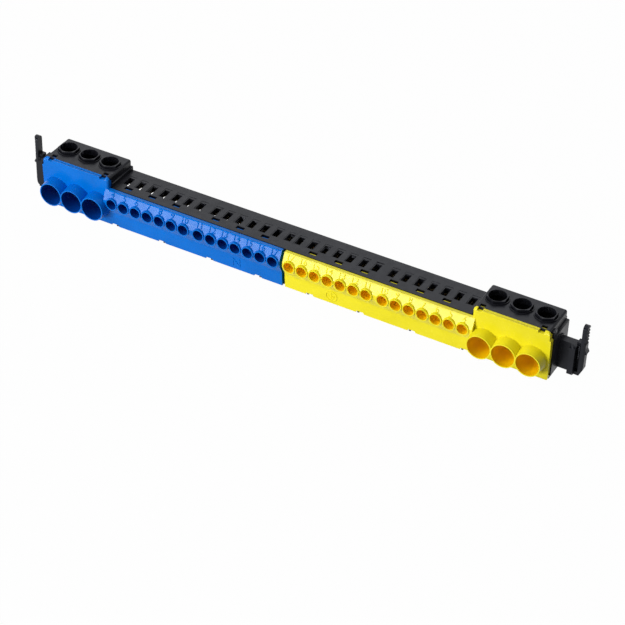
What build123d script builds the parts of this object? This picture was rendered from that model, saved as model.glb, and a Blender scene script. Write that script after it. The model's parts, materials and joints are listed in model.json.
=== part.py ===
from build123d import *

from math import acos, atan2, cos, sin
import os

# Combined neutral and earth terminal strip for a distribution board, in millimetres.
# X runs along the strip, the cable entries face -Y and +Z is up. The origin is the middle of
# the underside: X = 0 between the two covers, Y = 0 halfway from the large rims to the back.
# The neutral half lies on -X and the earth half on +X.

# Positions of the entries along the strip
small_pitch = 6.5  # between neighbouring small entries
small_in_group = 7
small_groups = 2
group_gap = 1.57  # extra distance between the two groups
centre_pitch = 8.5  # between the innermost small entries of the two halves
mixed_pitch = 9.36  # last small entry to first large entry
large_pitch = 11.53
large_count = 3

# Main sizes of the strip
depth = 25.06  # large rims to back
rim_step = 2.48  # the small rims stand this far behind the large ones
low_top = 20.36  # top of the long low part
box_top = 25.71  # top of the raised boxes
box_inner_margin = 6.28  # first large axis to the inner side of its box
box_outer_margin = 6.3  # last large axis to the outer side of its box
end_margin = 7.56  # last large axis to the end wall

# Heights of the conductors above the underside
small_axis = 14.1
large_axis = 9.61

# Places behind the small rims
shell_front = 4.43  # front edge of the top walls
seat = 5.4  # front of the carrier behind the covers

# Place in front of the back
well_inset = 8.58  # axis of the screwdriver wells

# Walls and fits
top_wall = 1.6
back_wall = 2.0
cell_wall = 1.5
cell_margin = 0.2  # side of a cell to its screwdriver slot
floor_top = 9.2  # floor of the small cells
cover_wall = 1.45
roof_sink = 0.3  # tops of the small tubes above the roof of the cover's hollow
seat_gap = 0.1  # between a cover and its seat
slide_gap = 0.15  # round metal parts pushed into the plastic
centre_gap = 1.44  # between the two covers

# Cover, section through the small entries
lip_drop = 0.3  # below the top of the carrier
lip_back = 2.65  # band edge behind the small rims
band_foot_back = 0.55
band_foot_rise = 1.2  # above the small axis
belly_back = 1.04
belly_drop = 2.36  # below the small axis
waist_back = 2.8
waist_drop = 5.44
skirt_back = 3.37
skirt_drop = 9.04
hem_back = 3.81

# Cover, plate of the large entries
plate_top_back = 2.45
plate_lip_height = 1.2
plate_lip_out = 0.3
plate_corner = 1.6
plate_side_round = 1.3  # front edge of its inner side
plate_foot_corner = 0.8
plate_shoulder = 0.8  # the plate is narrower above the step of the end wall
plate_shoulder_rise = 0.9  # height of the slanted shoulder

# Entries
small_bore = 2.56  # radius
small_rim_wall = 0.55
small_bore_length = 4.3
small_throat = 1.5
large_bore = 5.44
large_rim_wall = 0.55
large_flare = 0.9  # added to the radius at the foot of the tube
large_taper = 4.33  # length of the funnel behind the straight bore
large_throat = 4.2
large_tube_wall = 0.2  # behind the plate, inside the boxes

# Openings in the top
slot_width = 2.9
slot_length = 5.7
slot_start = 10.3  # behind the small rims
slot_shift = 1.65  # towards the middle of the strip
hook_slot_width = 4.0
hook_slot_depth = 2.1
hook_slot_start = 6.7
box_hook_width = 2.6
box_hook_depth = 2.0
box_hook_start = 4.95
box_hook_inset_inner = 3.15  # from the inner side of the box
box_hook_inset_outer = 3.55  # from the outer side of the box
frame_margin = 0.45  # shallow frame round a screwdriver slot
frame_back = 1.3
frame_depth = 0.12
well_bore = 4.15
well_corner = 5.15  # corner radius of the hexagonal collar
well_ring = 5.1
collar_rise = 1.5
ring_wall = 0.4
ring_rise = 0.45
groove_depth = 0.6

# Snap hooks of the covers
hook_count = 6  # along the small entries of a cover
neutral_skip_count = 1  # small entries passed over halfway, on the neutral cover
hook_clearance = 0.2
hook_thickness = 1.1
hook_nose = 0.9

# Bottom edge
clip_first = 13.4  # first notch from the middle
clip_pitch = 25.75
clip_count = 4
clip_width = 4.0
clip_height = 0.9
clip_bit = 0.9
clip_slant = 0.35

# Ledges of the boxes
ledge_top = 22.2  # inner side
ledge_out = 0.8
end_ledge_top = 20.9  # end wall
ledge_round = 0.3
box_round = 1.0
lug_top = 24.8  # upright lug at the front of the end wall
lug_back = 8.7  # behind the small rims
edge_round = 0.4

# Bus bars
bar_thickness = 1.6
bar_bottom = 15.7
bar_gap = 0.2  # round the screwdriver slots
bar_play = 0.15  # to the covers and to the back wall
finger_bottom = 4.1
finger_gap = 0.25  # behind the tubes of the cover

# Clamp cages, screws and pads
cage_width = 9.4
cage_wall = 0.9
cage_depth = 6.2
cage_head = 3.5
cage_head_bottom = 14.9
screw_radius = 3.0
thread_gap = 0.05
screw_top = 19.1
stud_radius = 1.5
stud_length = 0.8
screw_chamfer = 0.4
driver_slot = 1.1
driver_slot_depth = 1.5
pad_radius = 3.3
pad_thickness = 1.0
pad_gap = 0.1

# Clamp springs
spring_thickness = 0.5
spring_width = 4.4
spring_bend = 1.35  # radius of the middle of the leaf
spring_play = 0.2  # to the cover and to the back wall
spring_tip_back = 13.4  # behind the small rims
spring_tip_gap = 0.12
spring_gap = 0.05

# Snap latches at the ends
latch_front = 12.9  # behind the small rims
latch_depth = 3.8
arm_top = 16.5
arm_bottom = 1.7
gusset_width = 0.6
gusset_front = 5.6  # behind the small rims
gusset_top = 21.2
gusset_knee = 12.8  # behind the small rims
gusset_knee_top = 19.1
gusset_foot = 0.9  # above the arm, at the back
rib_start = 5.7  # from the end wall
rib_width = 2.6
rib_out = 2.3
rib_fall = 0.8
rib_foot = 1.0
web_recess = 0.8
web_rise = 1.1
web_thickness = 1.6
web_rib_count = 2
web_rib_width = 0.35
window_top = 9.6
tongue_start = 9.8
tongue_thickness = 2.1
tongue_top = 27.1
tongue_round = 1.85
tongue_edge = 0.8  # slanted front edge of the outer side
tongue_foot_width = 1.4
tongue_foot_height = 3.0
bend_bottom = 0.8
bend_thickness = 1.7
tooth_top = 14.4
tooth_height = 2.3
tooth_out = 0.8
tooth_lead = 1.5
tooth_edge = 0.4
tooth_start = 0.8  # behind the front of the tongue
ridge_count = 5
ridge_pitch = 1.65
ridge_depth = 0.6
ridge_top = 25.45

# Cores in the underside
core_front = 7.4
core_roof = 1.6

# Reach of a cut past the face that it opens
over = 1.0

# Derived places
front_y = -depth / 2
back_y = depth / 2
rim_y = front_y + rim_step
small_x = []
x_now = centre_pitch / 2
for group in range(small_groups):
    for place in range(small_in_group):
        small_x.append(x_now)
        x_now += small_pitch
    x_now += group_gap
first_large_x = small_x[-1] + mixed_pitch
large_x = [first_large_x + large_pitch * i for i in range(large_count)]
box_in = large_x[0] - box_inner_margin
box_out = large_x[-1] + box_outer_margin
end_x = large_x[-1] + end_margin
lip_top = low_top - lip_drop
cell_top = low_top - top_wall
box_ceiling = box_top - top_wall
cell_width = small_pitch - cell_wall
cell_inner = slot_shift + slot_width / 2 + cell_margin
cell_end = depth - rim_step - back_wall
plate_back = seat - seat_gap
driver_axis = depth - rim_step - well_inset
driver_y = rim_y + driver_axis
cage_inner = cage_width - 2 * cage_wall
cage_front = driver_axis - cage_depth / 2
tube_end = cage_front - slide_gap
rail_front = cage_front + cage_depth + slide_gap
bar_top = bar_bottom + bar_thickness
bar_front = seat + bar_play
rail_end = cell_end - bar_play
finger_top = finger_bottom + bar_thickness
finger_front = tube_end + finger_gap
pad_bottom = finger_top + pad_gap
pad_top = pad_bottom + pad_thickness
cage_bottom = finger_bottom - slide_gap - cage_wall
large_cell = cage_width + 2 * slide_gap
large_floor = cage_bottom - slide_gap


def block(x, y, z):
    """A box from its spans along the three axes."""
    middle = [(span[0] + span[1]) / 2 for span in (x, y, z)]
    size = [abs(span[1] - span[0]) for span in (x, y, z)]
    return Pos(*middle) * Box(*size)


def around(centre, width):
    """A span of a given width round its centre."""
    return (centre - width / 2, centre + width / 2)


def behind(start, end):
    """A span along Y, from distances behind the small rims."""
    return (rim_y + start, rim_y + end)


def along_y(x, z, y, radius):
    """A cylinder whose axis runs along Y."""
    return Pos(x, (y[0] + y[1]) / 2, z) * Rot(90, 0, 0) * Cylinder(radius, y[1] - y[0])


def cone_y(x, z, y, front_radius, back_radius):
    """A cone whose axis runs along Y, from its front to its back radius."""
    return Pos(x, (y[0] + y[1]) / 2, z) * Rot(90, 0, 0) * Cone(back_radius, front_radius, y[1] - y[0])


def extrude_x(section, x):
    """Extrude a (Y, Z) section between two places along X."""
    plane = Plane(origin=(x[0], 0, 0), x_dir=(0, 1, 0), z_dir=(1, 0, 0))
    return extrude(plane * section, x[1] - x[0])


def extrude_y(section, y):
    """Extrude an (X, Z) section between two places along Y."""
    plane = Plane(origin=(0, y[1], 0), x_dir=(1, 0, 0), z_dir=(0, -1, 0))
    return extrude(plane * section, y[1] - y[0])


def polygon(*points):
    """A flat face from its corners."""
    return make_face(Polyline(*points, close=True))


def hook_places(skip):
    """X of the snap hooks, between the slots of every second pair of neighbours."""
    places = []
    for i in range(hook_count):
        entry = 2 * i + 1 + (skip if 2 * i >= hook_count else 0)
        places.append((small_x[entry] + small_x[entry + 1]) / 2 - slot_shift)
    return places


def box_hook_places():
    """X of the two snap hooks of a raised box."""
    return [box_in + box_hook_inset_inner, box_out - box_hook_inset_outer]


def clip_places():
    """X of the notches along the bottom edge of a cover."""
    return [clip_first + clip_pitch * i for i in range(clip_count)]


def front_points(shift):
    """Points of the cover's line below the band, moved back by a wall."""
    y0 = rim_y + shift
    return [
        (y0 + band_foot_back, small_axis + band_foot_rise),
        (y0 + belly_back, small_axis - belly_drop),
        (y0 + waist_back, small_axis - waist_drop),
        (y0 + skirt_back, small_axis - skirt_drop),
    ]


def front_face(shift, rest):
    """Face between the cover's curved line and the remaining corners."""
    points = front_points(shift)
    curve = Spline(*points, tangents=[(-0.15, -1), (0.05, -1)])
    return make_face([curve, Polyline(points[-1], *rest, points[0])])


def low_section():
    """Section of the cover at the small entries."""
    rebate = cell_top - seat_gap
    return front_face(0, [
        (rim_y + hem_back, 0),
        (rim_y + plate_back, 0),
        (rim_y + plate_back, rebate),
        (rim_y + shell_front - seat_gap, rebate),
        (rim_y + shell_front - seat_gap, lip_top),
        (rim_y + lip_back, lip_top),
    ])


def low_cavity():
    """Section of the hollow behind the cover's front wall."""
    roof = small_axis + small_bore + small_rim_wall - roof_sink
    return front_face(cover_wall, [
        (rim_y + seat, small_axis - skirt_drop),
        (rim_y + seat, roof),
        (rim_y + lip_back + cover_wall / 2, roof),
    ])


def plate():
    """Upright plate that carries the large entries."""
    rebate = box_ceiling - seat_gap
    side = polygon(
        (rim_y + hem_back, 0),
        (rim_y + plate_back, 0),
        (rim_y + plate_back, rebate),
        (rim_y + shell_front - seat_gap, rebate),
        (rim_y + shell_front - seat_gap, box_top),
        (rim_y + plate_top_back, box_top),
    )
    body = extrude_x(side, (box_in, end_x))
    hollow = polygon(
        (rim_y + plate_top_back + cover_wall, rebate - cover_wall),
        (rim_y + seat, rebate - cover_wall),
        (rim_y + seat, cover_wall),
    )
    body -= extrude_x(hollow, (box_in + cover_wall, end_x - cover_wall))
    shoulder = polygon(
        (end_x + over, ledge_top - plate_shoulder_rise),
        (end_x, ledge_top - plate_shoulder_rise),
        (end_x - plate_shoulder, ledge_top),
        (end_x - plate_shoulder, box_top + over),
        (end_x + over, box_top + over),
    )
    body -= extrude_y(shoulder, behind(0, seat))
    side = body.edges().filter_by(GeomType.LINE).group_by(Axis.X)[0].sort_by(Axis.Y)[0]
    body = fillet(side, plate_side_round)
    tops = body.edges().filter_by(Axis.Y).group_by(Axis.Z)[-1]
    body = fillet(tops, plate_corner)
    feet = body.edges().filter_by(Axis.Y).group_by(Axis.Z)[0].sort_by(Axis.X)[-1:]
    return fillet(feet, plate_foot_corner)


def plate_lip():
    """Raised strip along the top of the plate, between its two notches."""
    hooks = box_hook_places()
    start = rim_y + plate_top_back
    return block(
        (hooks[0] + box_hook_width / 2, hooks[1] - box_hook_width / 2),
        (start - plate_lip_out, start + plate_lip_out),
        (box_top - plate_lip_height, box_top),
    )


def snap_hook(x, width, start, length, ceiling):
    """Tongue of a cover that reaches under a top wall and hooks into its slot."""
    side = around(x, width - 2 * hook_clearance)
    top = ceiling - hook_clearance
    end = start + length - 3 * hook_clearance
    tongue = block(side, behind(plate_back - cover_wall, end), (top - hook_thickness, top))
    nose = block(side, behind(start + hook_clearance, end), (top - hook_thickness, top + hook_nose))
    return tongue + nose


def bottom_notch(x):
    """Shallow notch with slanting sides in the hem of a cover."""
    half = clip_width / 2
    section = polygon(
        (x - half, -over),
        (x - half, 0),
        (x - half + clip_slant, clip_height),
        (x + half - clip_slant, clip_height),
        (x + half, 0),
        (x + half, -over),
    )
    return extrude_y(section, behind(waist_back, seat))


def cover(skip):
    """Snap-on front cover with its cable entries, built on the +X side."""
    start = centre_gap / 2
    shell = extrude_x(low_section(), (start, box_in + cover_wall))
    shell -= extrude_x(low_cavity(), (start + cover_wall, box_in))
    foot = hem_back + large_tube_wall
    rim_radius = large_bore + large_rim_wall
    throat = tube_end - large_taper
    added = [plate(), plate_lip()]
    cuts = []
    for x in small_x:
        added.append(along_y(x, small_axis, behind(0, plate_back), small_bore + small_rim_wall))
        cuts.append(along_y(x, small_axis, behind(-over, small_bore_length), small_bore))
        cuts.append(cone_y(x, small_axis, behind(small_bore_length, plate_back), small_bore, small_throat))
        cuts.append(along_y(x, small_axis, behind(plate_back - 0.1, seat), small_throat))
    for x in large_x:
        cone = cone_y(x, large_axis, (front_y, rim_y + foot), rim_radius, rim_radius + large_flare)
        added.append(cone)
        added.append(along_y(x, large_axis, behind(foot - over, tube_end), large_bore + large_tube_wall))
        cuts.append(along_y(x, large_axis, (front_y - over, rim_y + throat), large_bore))
        cuts.append(cone_y(x, large_axis, behind(throat, tube_end), large_bore, large_throat))
        cuts.append(along_y(x, large_axis, behind(tube_end - 0.1, tube_end + over), large_throat))
    for x in hook_places(skip):
        added.append(snap_hook(x, hook_slot_width, hook_slot_start, hook_slot_depth, cell_top))
    for x in box_hook_places():
        added.append(snap_hook(x, box_hook_width, box_hook_start, box_hook_depth, box_ceiling))
        cuts.append(block(
            around(x, box_hook_width),
            behind(0, shell_front),
            (box_top - plate_lip_height, box_top + over),
        ))
    cuts += [bottom_notch(x) for x in clip_places()]
    return shell + added - cuts


def bar_ends():
    """X of the two ends of a bus bar."""
    return (small_x[0] - cell_inner + bar_play, large_x[-1] + cage_inner / 2 - slide_gap)


def busbar():
    """Punched and bent bar that joins every clamp of one half."""
    first, last = bar_ends()
    z = (bar_bottom, bar_top)
    flat = block((first, box_in - cover_wall), behind(bar_front, rail_end), z)
    added = [block((first, last), behind(rail_front, rail_end), z)]
    cuts = []
    for x in small_x:
        side = around(x - slot_shift, slot_width + 2 * bar_gap)
        span = behind(slot_start - bar_gap, slot_start + slot_length + bar_gap)
        cuts.append(block(side, span, (bar_bottom - over, bar_top + over)))
    for x in large_x:
        side = around(x, cage_inner - 2 * slide_gap)
        added.append(block(side, behind(rail_end - bar_thickness, rail_end), (finger_bottom, bar_top)))
        added.append(block(side, behind(finger_front, rail_end), (finger_bottom, finger_top)))
    return flat + added - cuts


def clamp_cage(x):
    """Closed steel cage round the bar's finger, with the screw's thread in its head."""
    y = behind(cage_front, cage_front + cage_depth)
    body = block(around(x, cage_width), y, (cage_bottom, cage_head_bottom + cage_head))
    window = block(around(x, cage_inner), (y[0] - over, y[1] + over), (cage_bottom + cage_wall, cage_head_bottom))
    hole = Pos(x, driver_y, cage_head_bottom) * Cylinder(screw_radius + thread_gap, 3 * cage_head)
    return body - [window, hole]


def clamp_screw(x):
    """Headless screw with a driver slot and a stud that turns in its pad."""
    shank = Pos(x, driver_y, (pad_top + screw_top) / 2) * Cylinder(screw_radius, screw_top - pad_top)
    shank = chamfer(shank.edges().group_by(Axis.Z)[-1], screw_chamfer)
    stud = Pos(x, driver_y, pad_top - stud_length / 2) * Cylinder(stud_radius, stud_length)
    slot = block(
        around(x, 2 * screw_radius),
        around(driver_y, driver_slot),
        (screw_top - driver_slot_depth, screw_top + over),
    )
    return shank + stud - slot


def pressure_pad(x):
    """Round pad under the screw that presses the conductor."""
    disc = Pos(x, driver_y, (pad_bottom + pad_top) / 2) * Cylinder(pad_radius, pad_thickness)
    return disc - Pos(x, driver_y, pad_top) * Cylinder(stud_radius + thread_gap, 3 * pad_thickness)


def clamp_spring(x):
    """Leaf spring with a floor leg, a bend and a leg that presses the conductor up."""
    half = spring_thickness / 2
    floor_z = floor_top + spring_gap + half
    centre = Vector(rim_y + bar_front + spring_bend + half, floor_z + spring_bend)
    tip = Vector(rim_y + spring_tip_back, bar_bottom - spring_tip_gap - half)
    reach = tip - centre
    turn = atan2(reach.Y, reach.X) + acos(spring_bend / reach.length)
    leave = centre + Vector(cos(turn), sin(turn)) * spring_bend
    leg = Line((rim_y + cell_end - spring_play, floor_z), (centre.X, floor_z))
    bend = ThreePointArc(leg @ 1, (centre.X - spring_bend, centre.Y), leave)
    centre_line = Plane.YZ * (leg + bend + Line(leave, tip))
    width = spring_width / 2
    section = Plane(origin=centre_line @ 0, x_dir=(1, 0, 0), z_dir=(0, -1, 0))
    middle = x - cell_inner + slide_gap + width
    return Pos(middle, 0, 0) * sweep(section * Rectangle(2 * width, spring_thickness), centre_line)


def gusset():
    """Root of a latch on the end wall, with a falling top edge."""
    section = polygon(
        (rim_y + gusset_front, arm_bottom),
        (rim_y + gusset_front, gusset_top),
        (rim_y + gusset_knee, gusset_knee_top),
        (rim_y + latch_front + latch_depth, arm_top + gusset_foot),
        (rim_y + latch_front + latch_depth, arm_bottom),
    )
    return extrude_x(section, (end_x - 0.5, end_x + gusset_width))


def tongue():
    """Upright tongue of a latch with a round top, a snap tooth and finger grooves."""
    inner = end_x + tongue_start
    outer = inner + tongue_thickness
    y = behind(latch_front, latch_front + latch_depth)
    body = block((inner, outer), y, (bend_bottom, tongue_top))
    body = fillet(body.edges().filter_by(Axis.X).group_by(Axis.Z)[-1], tongue_round)
    slant = polygon(
        (outer - tongue_edge - over, y[0] - over),
        (outer + over, y[0] - over),
        (outer + over, y[0] + tongue_edge + over),
    )
    body -= extrude(slant, tongue_top + over)
    body -= extrude_y(polygon(
        (outer - tongue_foot_width, bend_bottom),
        (outer, bend_bottom + tongue_foot_height),
        (outer + over, bend_bottom + tongue_foot_height),
        (outer + over, bend_bottom - over),
        (outer - tongue_foot_width, bend_bottom - over),
    ), y)
    tooth = polygon(
        (outer - 0.5, tooth_top),
        (outer, tooth_top),
        (outer + tooth_out, tooth_top - tooth_lead),
        (outer + tooth_out, tooth_top - tooth_lead - tooth_edge),
        (outer, tooth_top - tooth_height),
        (outer - 0.5, tooth_top - tooth_height),
    )
    grooves = []
    for i in range(ridge_count):
        top = ridge_top - ridge_pitch * i
        grooves.append(extrude_y(polygon(
            (outer + 0.5, top),
            (outer, top),
            (outer - ridge_depth, top - ridge_pitch / 2),
            (outer, top - ridge_pitch),
            (outer + 0.5, top - ridge_pitch),
        ), y))
    return body + extrude_y(tooth, (y[0] + tooth_start, y[1])) - grooves


def latch():
    """Arm, rib block, bend and tongue of the snap latch at the +X end."""
    back = latch_front + latch_depth
    y = behind(latch_front, back)
    tongue_in = end_x + tongue_start
    rib_in = end_x + rib_start
    rib_end = rib_in + rib_width
    arm = block((end_x, rib_end), y, (arm_bottom, arm_top))
    rib_top = polygon(
        (rim_y + latch_front - rib_out, bend_bottom + rib_foot),
        (rim_y + latch_front - rib_out, arm_top - rib_fall),
        (rim_y + latch_front, arm_top),
        (rim_y + back, arm_top),
        (rim_y + back, bend_bottom),
        (rim_y + latch_front, bend_bottom),
    )
    ribs = extrude_x(rib_top, (rib_in, rib_end))
    bend = block((rib_end - 0.5, tongue_in + 0.5), y, (bend_bottom, bend_bottom + bend_thickness))
    web_x = (rib_end - 0.5, tongue_in + 0.5)
    web = block(web_x, behind(latch_front + web_recess, back), (window_top, arm_top + web_rise))
    window = block(web_x, behind(back - web_thickness, back), (bend_bottom, arm_top))
    added = [arm, ribs, bend, web, window, tongue()]
    step = (tongue_in - rib_end) / (web_rib_count + 1)
    for i in range(web_rib_count):
        side = around(rib_end + step * (i + 1), web_rib_width)
        added.append(block(side, behind(latch_front, back), (window_top, arm_top)))
    return gusset() + added


def mirrored(shape, side):
    """The +X shape itself, or its mirror image for the neutral half."""
    return shape if side > 0 else mirror(shape, Plane.YZ)


def raised_box():
    """Raised box with round top edges, its ledge and the step of its end wall."""
    y = behind(shell_front, depth - rim_step)
    upper = block((box_in, box_out), y, (0, box_top))
    rounded = upper.edges().group_by(Axis.Z)[-1].sort_by(Axis.Y)[1:]
    rounded += upper.edges().filter_by(Axis.Z).sort_by(Axis.Y)[2:]
    upper = fillet(rounded, box_round)
    inner = block((box_in - ledge_out, box_out), y, (0, ledge_top))
    inner = chamfer(inner.edges().filter_by(Axis.Y).group_by(Axis.Z)[-1].sort_by(Axis.X)[0], ledge_round)
    end = block((box_in, end_x), y, (0, end_ledge_top))
    end = chamfer(end.edges().filter_by(Axis.Y).group_by(Axis.Z)[-1].sort_by(Axis.X)[-1], ledge_round)
    lug = block((box_out - box_round, end_x), behind(shell_front, lug_back), (0, lug_top))
    return upper + [inner, end, lug]


def seat_rebates():
    """Room in front of the seat for a cover, below the top walls."""
    front = behind(shell_front - over, seat)
    return [
        block((0, box_in), front, (-over, cell_top)),
        block((box_in - over, end_x + over), front, (-over, box_ceiling)),
        block((box_out, end_x + over), front, (-over, box_top + over)),
    ]


def small_cells():
    """Cells of the clamp springs, with their screwdriver slots and shallow frames."""
    cuts = []
    for x in small_x:
        start = x - cell_inner
        cuts.append(block((start, start + cell_width), behind(seat - over, cell_end), (floor_top, cell_top)))
        middle = x - slot_shift
        slot = behind(slot_start, slot_start + slot_length)
        cuts.append(block(around(middle, slot_width), slot, (cell_top - over, low_top + over)))
        frame = behind(slot_start - frame_margin, slot_start + slot_length + frame_back)
        width = slot_width + 2 * frame_margin
        cuts.append(block(around(middle, width), frame, (low_top - frame_depth, low_top + over)))
    return cuts


def large_cells():
    """Room for the tubes of the cover and a cell for each clamp cage."""
    radius = large_bore + large_rim_wall
    side = (large_x[0] - radius, large_x[-1] + radius)
    room = block(side, behind(seat - over, tube_end + seat_gap), (large_floor, large_axis + radius))
    cells = [block(around(x, large_cell), behind(seat - over, cell_end), (large_floor, box_ceiling)) for x in large_x]
    return [room] + cells


def hook_cuts(skip):
    """Slots and notches in the top walls for the snap hooks of a cover."""
    cuts = []
    spans = [(x, hook_slot_width, hook_slot_start, hook_slot_depth, low_top) for x in hook_places(skip)]
    spans += [(x, box_hook_width, box_hook_start, box_hook_depth, box_top) for x in box_hook_places()]
    for x, width, start, length, top in spans:
        under = top - top_wall
        low = under - hook_thickness - 2 * hook_clearance
        cuts.append(block(around(x, width), behind(start, start + length), (under - over, top + over)))
        cuts.append(block(around(x, width), behind(seat - over, start + length), (low, under)))
    return cuts


def underside_cores():
    """Cores that keep the walls of the moulding thin below the small cells."""
    cuts = []
    for i in range(0, len(small_x), 2):
        start = small_x[i] - cell_inner
        end = small_x[i + 1] - cell_inner + cell_width
        cuts.append(block((start, end), behind(core_front, cell_end), (-over, floor_top - core_roof)))
    return cuts


def bar_corridor():
    """Way through the inner walls, open to the front, in which the bus bar lies."""
    first, last = bar_ends()
    z = (bar_bottom - slide_gap, bar_top + slide_gap)
    return block((first - slide_gap, last + slide_gap), behind(seat - over, cell_end), z)


def well(x):
    """Raised hexagonal collar in its ring round a screwdriver well."""
    ring = Pos(x, driver_y, box_top) * Cylinder(well_ring + ring_wall, 2 * ring_rise)
    groove = Pos(x, driver_y, box_top) * Cylinder(well_ring, 2 * groove_depth)
    hexagon = Plane.XY.offset(box_ceiling) * Pos(x, driver_y) * RegularPolygon(well_corner, 6, rotation=30)
    collar = extrude(hexagon, top_wall + collar_rise)
    bore = Pos(x, driver_y, box_top) * Cylinder(well_bore, 4 * top_wall)
    return ring, groove, collar, bore


def clip_bits():
    """Small hooks of the carrier that hold the hem of a cover."""
    bits = []
    for x in clip_places():
        start = x - clip_width / 2 + clip_slant + hook_clearance
        span = behind(hem_back + hook_clearance, seat + 0.5)
        bits.append(block((start, start + clip_bit), span, (0, clip_height - hook_clearance)))
    return bits


def carrier():
    """The black carrier with its cells, slots, wells and end latches."""
    low = block((-end_x, end_x), behind(shell_front, depth - rim_step), (0, low_top))
    edge = low.edges().filter_by(Axis.X).group_by(Axis.Z)[-1].sort_by(Axis.Y)[-1]
    body = fillet(edge, edge_round)
    added, grooves, collars, cuts = [], [], [], []
    for side, skip in ((1, 0), (-1, neutral_skip_count)):
        added += [mirrored(shape, side) for shape in (raised_box(), latch())]
        hollows = seat_rebates() + small_cells() + large_cells() + hook_cuts(skip)
        hollows += underside_cores() + [bar_corridor()]
        cuts += [mirrored(cut, side) for cut in hollows]
        for x in large_x:
            ring, groove, collar, bore = well(side * x)
            added.append(ring)
            grooves.append(groove)
            collars.append(collar)
            cuts.append(bore)
    bits = [mirrored(bit, side) for side in (1, -1) for bit in clip_bits()]
    return body + added - grooves + collars - cuts + bits


def write(shape, node):
    """Write one node of the strip."""
    shape.label = node
    export_step(shape, f"parts/{node}.step")


def main():
    os.makedirs("parts", exist_ok=True)
    write(carrier(), "carrier")
    last_number = large_count + len(small_x)
    for name, side, skip in (("earth", 1, 0), ("neutral", -1, neutral_skip_count)):
        write(mirrored(cover(skip), side), f"{name}_cover")
        write(mirrored(busbar(), side), f"{name}_busbar")
        for i, x in enumerate(small_x):
            write(mirrored(clamp_spring(x), side), f"{name}_spring_{last_number - i}")
        for i, x in enumerate(large_x):
            number = large_count - i
            write(mirrored(clamp_cage(x), side), f"{name}_clamp_cage_{number}")
            write(clamp_screw(side * x), f"{name}_clamp_screw_{number}")
            write(pressure_pad(side * x), f"{name}_pressure_pad_{number}")


main()
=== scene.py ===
"""Looks of the terminal strip: softened mouldings, raised marks, plated metal, floor, lights and camera."""

import json
import math

import bmesh
import bpy
from mathutils import Matrix, Vector
from mathutils.bvhtree import BVHTree


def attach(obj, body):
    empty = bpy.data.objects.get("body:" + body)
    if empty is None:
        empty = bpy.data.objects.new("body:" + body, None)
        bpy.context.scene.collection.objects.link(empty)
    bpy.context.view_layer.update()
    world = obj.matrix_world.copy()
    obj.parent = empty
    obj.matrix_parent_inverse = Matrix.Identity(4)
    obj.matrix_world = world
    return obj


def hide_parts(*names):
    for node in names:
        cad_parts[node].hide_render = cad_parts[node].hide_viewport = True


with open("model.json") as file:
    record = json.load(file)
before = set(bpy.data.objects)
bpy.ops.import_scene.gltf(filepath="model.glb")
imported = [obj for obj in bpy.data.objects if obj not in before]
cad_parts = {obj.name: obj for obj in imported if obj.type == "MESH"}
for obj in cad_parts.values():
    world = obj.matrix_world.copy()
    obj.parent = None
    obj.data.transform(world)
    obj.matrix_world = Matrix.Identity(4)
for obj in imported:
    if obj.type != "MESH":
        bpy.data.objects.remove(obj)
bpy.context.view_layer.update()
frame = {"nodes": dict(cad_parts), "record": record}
scene = bpy.context.scene

MM = 0.001
COVERS = {"neutral_cover": "blue", "earth_cover": "yellow"}
HALVES = (("neutral", -1, "blue"), ("earth", 1, "yellow"))  # name, side of the middle, colour

# Places on the strip, in millimetres, as in the part
RIM_Y = -10.05
SMALL_PITCH = 6.5
SMALL_IN_GROUP = 7
SMALL_GROUPS = 2
GROUP_GAP = 1.57
FIRST_SMALL = 4.25
SMALL_AXIS = 14.1
SMALL_BORE = 2.56
LARGE_COUNT = 3
LARGE_PITCH = 11.53
FIRST_LARGE = 99.68
LARGE_AXIS = 9.61
LARGE_BORE = 5.44
LARGE_RIM_Y = -12.53
SLOT_SHIFT = 1.65
SLOT_WIDTH = 2.9
SLOT_START = 10.3
LOW_TOP = 20.36
BAND_FOOT = (RIM_Y + 0.55, 15.3)
BAND_TOP = (RIM_Y + 2.65, 20.06)

# Softened edges of the mouldings, lengths in millimetres and angles in degrees
EDGE_WIDTHS = {"carrier": 0.19, "neutral_cover": 0.1, "earth_cover": 0.1}
EDGE_SEGMENTS = 2
EDGE_ANGLE = 32  # sharper edges are softened
WELD = 0.002
PLANE_ANGLE = 0.6  # faces that meet at less are one face
FLAT_AREA = 6.0  # square millimetres, above it a face of five or more sides is shaded flat
FLAT_QUAD_AREA = 20.0  # the same for a face of three or four sides
ENTRY_EDGE = 0.25  # behind a rim, where the painted shade inside an entry begins

# Raised characters and marks on the covers
FONT_SCALE = 1.4  # size of the font for a character of height 1
DIGIT_HEIGHT = 2.9
DIGIT_WEIGHT = 0.012  # added to each side of a stroke, per height
DIGIT_ALONG_BAND = 3.35  # middle of a digit, from the band's foot
DIGIT_RISE = {"blue": 0.16, "yellow": 0.07}
LIP_HEIGHT = 0.6
LIP_RISE = 0.1
LIP_START = 1.1
LIP_END = 92.9
MARK_RISE = 0.2
MARK_SINK = 0.1  # of every mark's foot into the cover
MARK_START = 3  # behind the small rims, where the flat signs are drawn
RAY_START = 4  # in front of a mark
RAY_LENGTH = 9
N_PLACE = (-24.75, 3.7)
N_HEIGHT = 4.6
EARTH_PLACE = (24.8, 4.2)
EARTH_RADIUS = 2.7
EARTH_RING_WIDTH = 0.22
EARTH_BAR_WIDTH = 0.25

# Bright steel tips at the slots of the neutral half: painted highlights that stand in for glints
TIP_SKIPPED = 4  # slots next to the middle, left without a tip
TIP_WIDTH = 0.42
TIP_SMALLEST = 0.6  # of the width
TIP_BACK = 2.0
TIP_FRONT = 1.0
TIP_SHEET = 0.15

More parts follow.
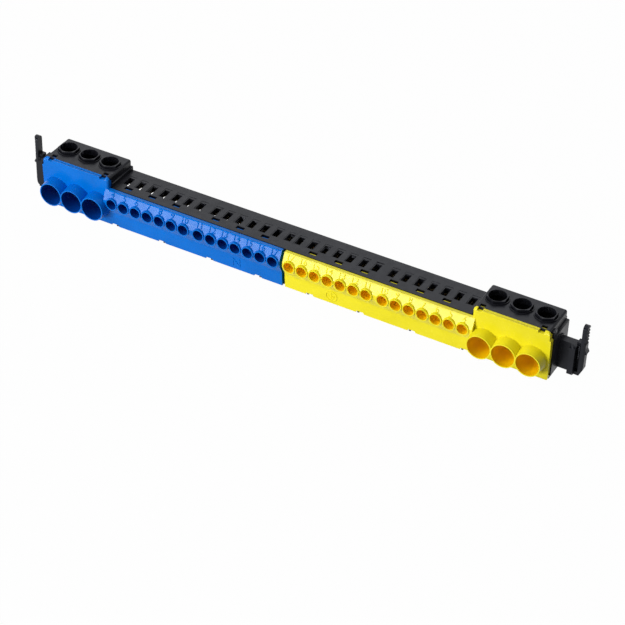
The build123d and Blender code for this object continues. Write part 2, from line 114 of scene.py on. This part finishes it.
# Camera fitted to the photograph
CAMERA_PLACE = (0.36346, -0.66813, 0.55960)
CAMERA_AZIMUTH = 27.744
CAMERA_ELEVATION = 37.246
CAMERA_ROLL = 2.253
CAMERA_LENS = 119.6
CAMERA_SENSOR = 36.0

# Surroundings, in metres and shares of white
LAMP_TARGET = (0, 0, 0.01)
FLOOR_REACH = 6.0
FLOOR_LEVEL = -0.00005
FLOOR_PAINT = 0.45
FLOOR_GLOW = 0.985
WORLD_LIGHT = 0.15
WORLD_SEEN = 1.0


def node_tree(name):
    """A new material with its tree and its principled shader."""
    material = bpy.data.materials.new(name)
    material.use_nodes = True
    return material, material.node_tree, material.node_tree.nodes["Principled BSDF"]


def noise(tree, scale, detail=3.0, stretch=(1, 1, 1)):
    """Noise in the object's own coordinates, which are metres."""
    coordinates = tree.nodes.new("ShaderNodeTexCoord")
    mapping = tree.nodes.new("ShaderNodeMapping")
    mapping.inputs["Scale"].default_value = stretch
    texture = tree.nodes.new("ShaderNodeTexNoise")
    texture.inputs["Scale"].default_value = scale
    texture.inputs["Detail"].default_value = detail
    tree.links.new(coordinates.outputs["Object"], mapping.inputs["Vector"])
    tree.links.new(mapping.outputs["Vector"], texture.inputs["Vector"])
    return texture.outputs["Fac"]


def spread(tree, value, low, high):
    """A noise value stretched to a range."""
    node = tree.nodes.new("ShaderNodeMapRange")
    node.inputs["From Min"].default_value = 0.3
    node.inputs["From Max"].default_value = 0.7
    node.inputs["To Min"].default_value = low
    node.inputs["To Max"].default_value = high
    tree.links.new(value, node.inputs["Value"])
    return node.outputs["Result"]


def tint(tree, value, dark, light):
    """A colour between two, chosen by a value."""
    node = tree.nodes.new("ShaderNodeMix")
    node.data_type = "RGBA"
    node.inputs["A"].default_value = (*dark, 1)
    node.inputs["B"].default_value = (*light, 1)
    tree.links.new(value, node.inputs["Factor"])
    return node.outputs["Result"]


def bump(tree, shader, value, height):
    """A bump of a height in metres."""
    node = tree.nodes.new("ShaderNodeBump")
    node.inputs["Distance"].default_value = height
    tree.links.new(value, node.inputs["Height"])
    tree.links.new(node.outputs["Normal"], shader.inputs["Normal"])


def moulded(name, dark, light, rough, grain, specular):
    """Moulded plastic: faint flow marks, a spark-eroded grain and uneven gloss."""
    material, tree, shader = node_tree(name)
    flow = spread(tree, noise(tree, 90.0, 2.0), 0, 1)
    tree.links.new(tint(tree, flow, dark, light), shader.inputs["Base Color"])
    gloss = spread(tree, noise(tree, 420.0), rough - 0.05, rough + 0.05)
    tree.links.new(gloss, shader.inputs["Roughness"])
    shader.inputs["Specular IOR Level"].default_value = specular
    bump(tree, shader, noise(tree, 5200.0, 2.0), grain)
    return material


def metal(name, dark, light, rough, stretch):
    """Rolled or turned metal with fine marks along one direction."""
    material, tree, shader = node_tree(name)
    marks = noise(tree, 900.0, 4.0, stretch)
    tree.links.new(tint(tree, spread(tree, marks, 0, 1), dark, light), shader.inputs["Base Color"])
    tree.links.new(spread(tree, marks, rough - 0.06, rough + 0.08), shader.inputs["Roughness"])
    shader.inputs["Metallic"].default_value = 1.0
    bump(tree, shader, marks, 4e-6)
    return material


BLACK = ((0.0048, 0.0050, 0.0070), (0.0082, 0.0085, 0.0118))
BLUE = ((0.000, 0.125, 0.500), (0.000, 0.145, 0.570))
YELLOW = ((0.740, 0.650, 0.010), (0.790, 0.700, 0.016))
materials = {
    "black_plastic": moulded("black_moulding", *BLACK, 0.36, 5e-6, 0.22),
    "blue_plastic": moulded("blue_moulding", *BLUE, 0.25, 2e-6, 0.12),
    "yellow_plastic": moulded("yellow_moulding", *YELLOW, 0.25, 2e-6, 0.2),
    # Darker, deeper colours for the insides of the covers' entries: painted shade
    "blue_inside": moulded("blue_funnel_painted_shade", (0.000, 0.040, 0.260), (0.000, 0.052, 0.330), 0.4, 3e-6, 0.1),
    "yellow_inside": moulded("yellow_funnel_painted_shade", (0.930, 0.570, 0.000), (0.960, 0.630, 0.003), 0.4, 3e-6, 0.1),
    "blue_mark": moulded("blue_frosted", *BLUE, 0.8, 3e-6, 0.05),
    "yellow_mark": moulded("yellow_frosted", *YELLOW, 0.35, 3e-6, 0.2),
    # Brass darkened so that the slots above the bar look black: painted shade
    "bar_brass": metal("nickel_brass_darkened", (0.36, 0.31, 0.20), (0.46, 0.40, 0.27), 0.34, (1, 8, 8)),
    "zinc_steel": metal("zinc_steel", (0.56, 0.57, 0.60), (0.72, 0.73, 0.76), 0.32, (8, 1, 8)),
    "spring_steel": metal("spring_steel", (0.40, 0.40, 0.42), (0.52, 0.52, 0.54), 0.26, (9, 1, 9)),
    # Lighter steel for the tips that stand in for glints at the slots: a painted highlight
    "glint_tip_steel": metal("glint_steel", (0.80, 0.80, 0.80), (0.90, 0.90, 0.90), 0.22, (9, 1, 9)),
    "screw_steel": metal("turned_steel", (0.50, 0.51, 0.54), (0.68, 0.69, 0.72), 0.30, (1, 1, 12)),
}
black_shader = materials["black_plastic"].node_tree.nodes["Principled BSDF"]
black_shader.inputs["Specular Tint"].default_value = (0.86, 0.90, 1.0, 1)


def dress(obj, slot):
    """Give an object the material of a slot, and nothing else."""
    obj.data.materials.clear()
    obj.data.materials.append(materials[slot])


def slot_of(node):
    """The record's material slot of a CAD node."""
    parts = frame["record"]["subparts"]
    return next(part["material_slot"] for part in parts if part["node"] == node)


def add_piece(name, mesh, slot, look=None):
    """A new piece of the strip's fixed body."""
    piece = bpy.data.objects.new(name, mesh)
    scene.collection.objects.link(piece)
    dress(piece, look or slot)
    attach(piece, "strip")
    return piece


def inside_entry(points):
    """Whether all the points, in millimetres, lie on or in one round entry of a cover."""
    entries = [(x, SMALL_AXIS, SMALL_BORE, RIM_Y) for x in small_places()]
    for i in range(LARGE_COUNT):
        entries.append((FIRST_LARGE + LARGE_PITCH * i, LARGE_AXIS, LARGE_BORE, LARGE_RIM_Y))
    for x, z, radius, rim in entries:
        reach = max(math.hypot(abs(p[0]) - x, p[2] - z) for p in points)
        if reach < radius + ENTRY_EDGE / 2 and max(p[1] for p in points) > rim + ENTRY_EDGE:
            return True
    return False


def evaluated_mesh(holder):
    """The mesh that a linked object gives, without the object."""
    bpy.context.view_layer.update()
    graph = bpy.context.evaluated_depsgraph_get()
    mesh = bpy.data.meshes.new_from_object(holder.evaluated_get(graph))
    bpy.data.objects.remove(holder)
    return mesh


def soften(node, width):
    """Replace a CAD moulding by a copy whose edges have the small radius of a real mould."""
    mesh = frame["nodes"][node].data.copy()
    mesh.transform(Matrix.Scale(1 / MM, 4))
    work = bmesh.new()
    work.from_mesh(mesh)
    bmesh.ops.remove_doubles(work, verts=work.verts, dist=WELD)
    plane = math.radians(PLANE_ANGLE)
    bmesh.ops.dissolve_limit(work, angle_limit=plane, verts=work.verts, edges=work.edges)
    work.to_mesh(mesh)
    work.free()
    holder = bpy.data.objects.new(f"{node}_work", mesh)
    scene.collection.objects.link(holder)
    edges = holder.modifiers.new("edges", "BEVEL")
    edges.width = width
    edges.segments = EDGE_SEGMENTS
    edges.limit_method = "ANGLE"
    edges.angle_limit = math.radians(EDGE_ANGLE)
    edges.use_clamp_overlap = True
    edges.face_strength_mode = "FSTR_ALL"
    shading = holder.modifiers.new("shading", "WEIGHTED_NORMAL")
    shading.mode = "FACE_AREA"
    shading.weight = 100
    shading.use_face_influence = True
    mesh.shade_smooth()
    for face in mesh.polygons:
        if face.area > (FLAT_AREA if len(face.vertices) > 4 else FLAT_QUAD_AREA):
            face.use_smooth = False
    done = evaluated_mesh(holder)
    done.transform(Matrix.Scale(MM, 4))
    piece = add_piece(f"{node}_soft", done, slot_of(node))
    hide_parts(node)
    # Faces inside a cover's round entries get the darker, deeper colour: painted shade of the entries'
    # insides
    if node in COVERS:
        done.materials.append(materials[f"{COVERS[node]}_inside"])
        for face in done.polygons:
            points = [done.vertices[i].co / MM for i in face.vertices]
            face.material_index = int(inside_entry(points))


def surface(node):
    """A search tree of a CAD node's surface."""
    mesh = frame["nodes"][node].data
    points = [vertex.co for vertex in mesh.vertices]
    return BVHTree.FromPolygons(points, [list(face.vertices) for face in mesh.polygons])


def outline_of(text, height, weight=0.0):
    """Flat filled mesh of characters, centred, in millimetres."""
    curve = bpy.data.curves.new("characters", "FONT")
    curve.body = text
    curve.size = height * FONT_SCALE
    curve.offset = height * weight
    curve.align_x = "CENTER"
    curve.align_y = "CENTER"
    curve.resolution_u = 3
    holder = bpy.data.objects.new("characters", curve)
    scene.collection.objects.link(holder)
    return evaluated_mesh(holder)


def stroke(points, width, closed):
    """Flat band of a width along a line of (x, z) points."""
    left, right = [], []
    count = len(points)
    for i, point in enumerate(points):
        before = points[i - 1] if i or closed else point
        after = points[(i + 1) % count] if i + 1 < count or closed else point
        along = (Vector(after) - Vector(before)).normalized()
        side = Vector((-along.y, along.x)) * width / 2
        left.append(Vector(point) + side)
        right.append(Vector(point) - side)
    mesh = bpy.data.meshes.new("stroke")
    steps = count if closed else count - 1
    faces = [(i, (i + 1) % count, (i + 1) % count + count, i + count) for i in range(steps)]
    mesh.from_pydata([(*p, 0) for p in left + right], [], faces)
    return mesh


def arc(centre, radius, start, end, steps):
    """Points of an arc, its angles in degrees."""
    turns = [math.radians(start + (end - start) * i / steps) for i in range(steps + 1)]
    return [(centre[0] + radius * math.cos(t), centre[1] + radius * math.sin(t)) for t in turns]


def raise_marks(name, flats, tree, normal, rise, slot, look=None):
    """Add one piece of raised marks: flat meshes set at (x, y, z) and pushed on to a surface."""
    normal = Vector(normal).normalized()
    across = Vector((1, 0, 0))
    upright = normal.cross(across)
    work = bmesh.new()
    for flat, place in flats:
        base = bmesh.new()
        base.from_mesh(flat)
        bmesh.ops.remove_doubles(base, verts=base.verts, dist=0.001)
        for vertex in base.verts:
            vertex.co = Vector(place) + across * vertex.co.x + upright * vertex.co.y
        bottom = base.faces[:]
        made = bmesh.ops.extrude_face_region(base, geom=bottom)["geom"]
        tops = {v for v in made if isinstance(v, bmesh.types.BMVert)}
        for vertex in base.verts:
            start = (vertex.co + normal * RAY_START) * MM
            hit = tree.ray_cast(start, -normal, RAY_LENGTH * MM)[0]
            height = rise if vertex in tops else -MARK_SINK
            vertex.co = (hit / MM if hit is not None else vertex.co) + normal * height
        bmesh.ops.recalc_face_normals(base, faces=base.faces[:])
        part = bpy.data.meshes.new("part")
        base.to_mesh(part)
        base.free()
        work.from_mesh(part)
    mesh = bpy.data.meshes.new(name)
    work.to_mesh(mesh)
    work.free()
    mesh.transform(Matrix.Scale(MM, 4))
    add_piece(name, mesh, slot, look)


def small_places():
    """X of the small entries of the +X half, from the middle outwards."""
    places = []
    for group in range(SMALL_GROUPS):
        for i in range(SMALL_IN_GROUP):
            steps = SMALL_IN_GROUP * group + i
            places.append(FIRST_SMALL + SMALL_PITCH * steps + GROUP_GAP * group)
    return places


def band_point(along):
    """Point (y, z) on the sloping band above the small entries."""
    return Vector(BAND_FOOT) + (Vector(BAND_TOP) - Vector(BAND_FOOT)).normalized() * along


def band_normal():
    """Direction (x, y, z) out of the sloping band."""
    slope = (Vector(BAND_TOP) - Vector(BAND_FOOT)).normalized()
    return (0, -slope.y, slope.x)


def mark_band(name, flats, half, colour, rise):
    """Raised marks on the sloping band of one cover."""
    tree = surface(f"{half}_cover")
    raise_marks(name, flats, tree, band_normal(), rise, f"{colour}_plastic", f"{colour}_mark")


def number_covers():
    """Numbers 4 to 17 above the small entries of both covers."""
    y, z = band_point(DIGIT_ALONG_BAND)
    last = LARGE_COUNT + SMALL_GROUPS * SMALL_IN_GROUP
    for half, side, colour in HALVES:
        flats = []
        for i, x in enumerate(small_places()):
            number = outline_of(str(last - i), DIGIT_HEIGHT, DIGIT_WEIGHT)
            flats.append((number, (side * x, y, z)))
        mark_band(f"{half}_numbers", flats, half, colour, DIGIT_RISE[colour])


def edge_covers():
    """Plain lip along the top of the sloping band of both covers."""
    length = (Vector(BAND_TOP) - Vector(BAND_FOOT)).length
    y, z = band_point(length - LIP_HEIGHT / 2)
    middle = (LIP_START + LIP_END) / 2
    for half, side, colour in HALVES:
        strip = stroke([(LIP_START - middle, 0), (LIP_END - middle, 0)], LIP_HEIGHT, False)
        flats = [(strip, (side * middle, y, z))]
        mark_band(f"{half}_lip", flats, half, colour, LIP_RISE)


def mark_covers():
    """Plain N on the neutral half and the plain earth sign on the earth half."""
    front = (0, -1, 0)
    place = (N_PLACE[0], RIM_Y + MARK_START, N_PLACE[1])
    flats = [(outline_of("N", N_HEIGHT), place)]
    raise_marks("neutral_sign", flats, surface("neutral_cover"), front, MARK_RISE, "blue_plastic")
    r = EARTH_RADIUS
    strokes = [
        stroke(arc((0, 0), r, 0, 345, 40), EARTH_RING_WIDTH, True),
        stroke([(0, 0.62 * r), (0, 0)], EARTH_BAR_WIDTH, False),
        stroke([(-0.6 * r, 0), (0.6 * r, 0)], EARTH_BAR_WIDTH, False),
        stroke([(-0.4 * r, -0.25 * r), (0.4 * r, -0.25 * r)], EARTH_BAR_WIDTH, False),
        stroke([(-0.2 * r, -0.5 * r), (0.2 * r, -0.5 * r)], EARTH_BAR_WIDTH, False),
    ]
    place = (EARTH_PLACE[0], RIM_Y + MARK_START, EARTH_PLACE[1])
    flats = [(line, place) for line in strokes]
    raise_marks("earth_sign", flats, surface("earth_cover"), front, MARK_RISE, "yellow_plastic")


def glint_tips():
    """Bright steel tips at the slots of the neutral half that stand in for glints, a painted highlight;
    smaller towards the middle, where the glints fade.
    """
    places = small_places()
    tips = bmesh.new()
    for i, x in enumerate(places[TIP_SKIPPED:]):
        size = (i + 1) / (len(places) - TIP_SKIPPED)
        edge = -(x - SLOT_SHIFT) + SLOT_WIDTH / 2
        start = RIM_Y + SLOT_START
        half = TIP_WIDTH * (TIP_SMALLEST + (1 - TIP_SMALLEST) * size) / 2
        path = [
            (start + TIP_BACK * size, LOW_TOP - 0.7),
            (start + TIP_BACK * size * 0.7, LOW_TOP - 0.1),
            (start, LOW_TOP + 0.06),
            (start - TIP_FRONT * size, LOW_TOP - 0.02),
        ]
        rows = []
        for y, z in path:
            left, right, under = edge - half, edge + half, z - TIP_SHEET
            corners = ((left, z), (right, z), (right, under), (left, under))
            rows.append([tips.verts.new((cx, y, cz)) for cx, cz in corners])
        for near, far in zip(rows, rows[1:]):
            for k in range(4):
                tips.faces.new((near[k], near[(k + 1) % 4], far[(k + 1) % 4], far[k]))
        tips.faces.new(rows[0])
        tips.faces.new(list(reversed(rows[-1])))
    bmesh.ops.recalc_face_normals(tips, faces=tips.faces[:])
    mesh = bpy.data.meshes.new("glint_tips")
    tips.to_mesh(mesh)
    tips.free()
    mesh.transform(Matrix.Scale(MM, 4))
    add_piece("neutral_glint_tips", mesh, "spring_steel", "glint_tip_steel")


def add_camera():
    """Camera at the photograph's place, turned by the fitted angles."""
    turn, lift, roll = (math.radians(v) for v in (CAMERA_AZIMUTH, CAMERA_ELEVATION, CAMERA_ROLL))
    back = Vector((math.sin(turn) * math.cos(lift), -math.cos(turn) * math.cos(lift), math.sin(lift)))
    right = Vector((math.cos(turn), math.sin(turn), 0))
    up = back.cross(right)
    right, up = (
        math.cos(roll) * right + math.sin(roll) * up,
        math.cos(roll) * up - math.sin(roll) * right,
    )
    data = bpy.data.cameras.new("camera")
    data.lens = CAMERA_LENS
    data.sensor_width = CAMERA_SENSOR
    data.clip_start = 0.01
    camera = bpy.data.objects.new("camera", data)
    scene.collection.objects.link(camera)
    turned = Matrix((right, up, back)).transposed().to_4x4()
    camera.matrix_world = Matrix.Translation(Vector(CAMERA_PLACE)) @ turned
    scene.camera = camera


def add_lamp(name, place, size, level):
    """Soft light. Its level is the brightness of a white surface at the target that faces it."""
    data = bpy.data.lights.new(name, "AREA")
    data.shape = "RECTANGLE"
    data.size, data.size_y = size
    toward = Vector(LAMP_TARGET) - Vector(place)
    data.energy = level * math.pi ** 2 * toward.length_squared
    lamp = bpy.data.objects.new(name, data)
    scene.collection.objects.link(lamp)
    lamp.location = place
    lamp.rotation_euler = toward.to_track_quat("-Z", "Y").to_euler()


def seen_or_mirrored(tree):
    """1 for camera, glossy and transmission rays, else 0."""
    path = tree.nodes.new("ShaderNodeLightPath")
    total = path.outputs["Is Camera Ray"]
    for name in ("Is Glossy Ray", "Is Transmission Ray"):
        node = tree.nodes.new("ShaderNodeMath")
        node.operation = "MAXIMUM"
        tree.links.new(total, node.inputs[0])
        tree.links.new(path.outputs[name], node.inputs[1])
        total = node.outputs[0]
    return total


def add_floor():
    """Pale floor that looks white and still takes the strip's shadow."""
    mesh = bpy.data.meshes.new("floor")
    signs = ((-1, -1), (1, -1), (1, 1), (-1, 1))
    corners = [(FLOOR_REACH * x, FLOOR_REACH * y, FLOOR_LEVEL) for x, y in signs]
    mesh.from_pydata(corners, [], [(0, 1, 2, 3)])
    floor = bpy.data.objects.new("floor", mesh)
    scene.collection.objects.link(floor)
    material = bpy.data.materials.new("pale_floor")
    material.use_nodes = True
    tree = material.node_tree
    tree.nodes.clear()
    output = tree.nodes.new("ShaderNodeOutputMaterial")
    paint = tree.nodes.new("ShaderNodeBsdfDiffuse")
    paint.inputs["Color"].default_value = (FLOOR_PAINT, FLOOR_PAINT, FLOOR_PAINT, 1)
    glow = tree.nodes.new("ShaderNodeEmission")
    glow.inputs["Color"].default_value = (1, 1, 1, 1)
    share = tree.nodes.new("ShaderNodeMath")
    share.operation = "MULTIPLY"
    share.inputs[1].default_value = FLOOR_GLOW
    tree.links.new(seen_or_mirrored(tree), share.inputs[0])
    mix = tree.nodes.new("ShaderNodeMixShader")
    tree.links.new(share.outputs[0], mix.inputs["Fac"])
    tree.links.new(paint.outputs[0], mix.inputs[1])
    tree.links.new(glow.outputs[0], mix.inputs[2])
    tree.links.new(mix.outputs[0], output.inputs["Surface"])
    mesh.materials.append(material)


def add_world():
    """Soft surround that looks white behind the strip."""
    world = bpy.data.worlds.new("surround")
    scene.world = world
    world.use_nodes = True
    tree = world.node_tree
    tree.nodes.clear()
    output = tree.nodes.new("ShaderNodeOutputWorld")
    lighting = tree.nodes.new("ShaderNodeBackground")
    lighting.inputs["Strength"].default_value = WORLD_LIGHT
    seen = tree.nodes.new("ShaderNodeBackground")
    seen.inputs["Strength"].default_value = WORLD_SEEN
    mix = tree.nodes.new("ShaderNodeMixShader")
    tree.links.new(seen_or_mirrored(tree), mix.inputs["Fac"])
    tree.links.new(lighting.outputs[0], mix.inputs[1])
    tree.links.new(seen.outputs[0], mix.inputs[2])
    tree.links.new(mix.outputs[0], output.inputs["Surface"])


for name, cad in frame["nodes"].items():
    dress(cad, slot_of(name))
for name, width in EDGE_WIDTHS.items():
    soften(name, width)
number_covers()
edge_covers()
mark_covers()
glint_tips()
add_floor()
add_world()
add_lamp("key", (-0.42, -0.58, 0.70), (0.65, 0.18), 0.45)
add_lamp("low_front", (-0.48, -1.2, 0.20), (0.80, 0.34), 0.85)
add_lamp("overhead", (0.0, 0.2, 1.2), (0.9, 0.7), 0.30)
add_lamp("behind", (-0.45, 0.85, 0.74), (0.9, 0.5), 0.12)
add_camera()
scene.view_settings.view_transform = "Standard"
